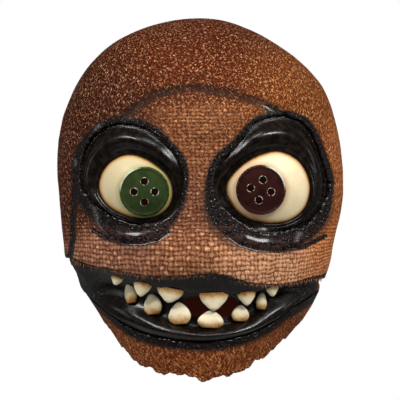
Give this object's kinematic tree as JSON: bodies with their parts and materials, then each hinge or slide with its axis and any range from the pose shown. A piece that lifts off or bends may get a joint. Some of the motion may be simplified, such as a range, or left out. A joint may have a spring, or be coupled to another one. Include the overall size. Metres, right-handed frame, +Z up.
{
  "type": "latex mask",
  "caption": "Full-head burlap doll mask with domed eyes, sewing-button pupils, glossy black lids and lips and blunt teeth around a wide open grin.",
  "frame": {"origin": "inside of the crown, where the top of the wearer's head touches the mask", "axes": "face looks along -Y, +Z is up, +X is the right side as seen from the front"},
  "size_m": [0.2403, 0.2485, 0.3013],
  "materials": {
    "burlap_latex": "matte, painted burlap weave",
    "glossy_black_latex": "gloss",
    "cream_latex": "satin",
    "tooth_latex": "satin",
    "green_latex": "satin gloss",
    "maroon_latex": "satin gloss"
  },
  "bodies": {
    "root": {"head_skin": "burlap_latex", "eyelid_left": "glossy_black_latex", "eyelid_right": "glossy_black_latex", "eyeball_left": "cream_latex", "eyeball_right": "cream_latex", "button_green": "green_latex", "button_maroon": "maroon_latex", "lips": "glossy_black_latex", "upper_tooth_1": "tooth_latex", "upper_tooth_2": "tooth_latex", "upper_tooth_3": "tooth_latex", "upper_tooth_4": "tooth_latex", "upper_tooth_5": "tooth_latex", "upper_tooth_6": "tooth_latex", "lower_tooth_1": "tooth_latex", "lower_tooth_2": "tooth_latex", "lower_tooth_3": "tooth_latex", "lower_tooth_4": "tooth_latex", "lower_tooth_5": "tooth_latex", "lower_tooth_6": "tooth_latex"}
  },
  "joints": []
}
